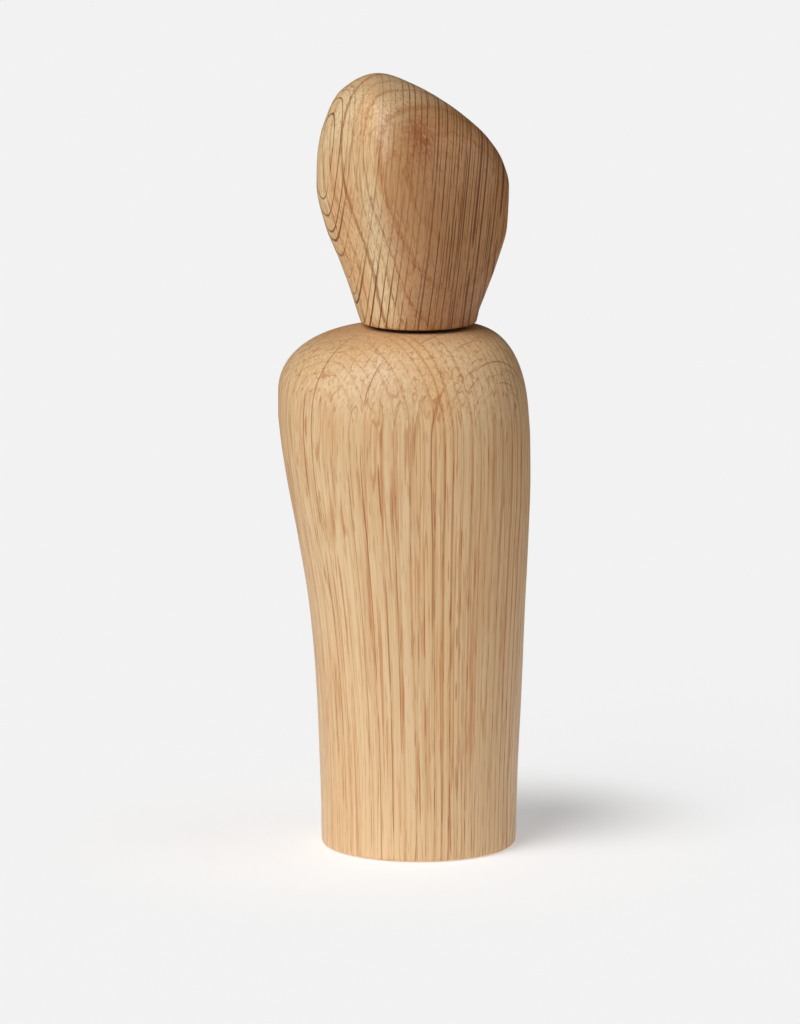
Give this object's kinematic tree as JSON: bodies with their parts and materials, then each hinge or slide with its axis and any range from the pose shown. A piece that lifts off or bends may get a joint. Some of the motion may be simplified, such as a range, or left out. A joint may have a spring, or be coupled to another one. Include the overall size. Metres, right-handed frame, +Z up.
{
  "type": "figure-shaped pepper mill",
  "caption": "Two-piece sculpted oak figure with rounded shoulders and a faceted stone-like head that turns and lifts off; a ceramic grinder sits in its foot.",
  "frame": {"origin": "on the floor, under the middle of the bounding box; the mill axis stands at x = +3.6 mm, y = 0, because the left shoulder reaches further out than the right", "axes": "+Z up along the mill axis, -Y towards the figure's front, +X towards its narrower right-hand shoulder as seen from the front"},
  "size_m": [0.0643, 0.0582, 0.1985],
  "materials": {
    "oak_body": "oiled, straight-grained natural oak",
    "oak_head": "oiled, slightly darker and redder oak with crisp dark rays",
    "black_plastic": "matte moulded",
    "ceramic": "unglazed, fine-grained",
    "steel": "bright",
    "bronze": "sintered, dull",
    "aluminium": "drawn bar",
    "rubber": "matte"
  },
  "bodies": {
    "body": {"body_shell": "oak_body", "grinder_housing": "black_plastic", "housing_screw_1": "steel", "housing_screw_2": "steel", "housing_screw_3": "steel", "shaft_bush": "bronze", "thrust_washer": "steel", "stator_ring": "ceramic", "retaining_ring": "black_plastic"},
    "drive": {"drive_shaft": "aluminium", "rotor_spring": "steel", "end_clip": "steel"},
    "head": {"head_block": "oak_head", "head_insert": "black_plastic", "head_o_ring": "rubber", "head_screw_1": "steel", "head_screw_2": "steel"},
    "rotor": {"rotor_cone": "ceramic", "rotor_carrier": "black_plastic"},
    "knob": {"adjuster_knob": "black_plastic"}
  },
  "joints": [
    {"name": "mill_turn", "type": "hinge", "parent": "body", "child": "drive", "pos_m": [0.0036, 0, 0], "axis": [0, 0, 1], "continuous": true},
    {"name": "head_lift", "type": "slide", "parent": "drive", "child": "head", "axis": [0, 0, 1], "range_m": [0, 0.045]},
    {"name": "rotor_gap", "type": "slide", "parent": "drive", "child": "rotor", "axis": [0, 0, 1], "range_m": [-0.000666, 0], "deforming": ["rotor_spring"]},
    {"name": "grind_adjust", "type": "hinge", "parent": "rotor", "child": "knob", "pos_m": [0.0036, 0, 0], "axis": [0, 0, -1], "range_deg": [0, 300]}
  ],
  "couplings": [
    {"joint": "grind_adjust", "follows": "rotor_gap", "rad_per_m": -7854}
  ]
}
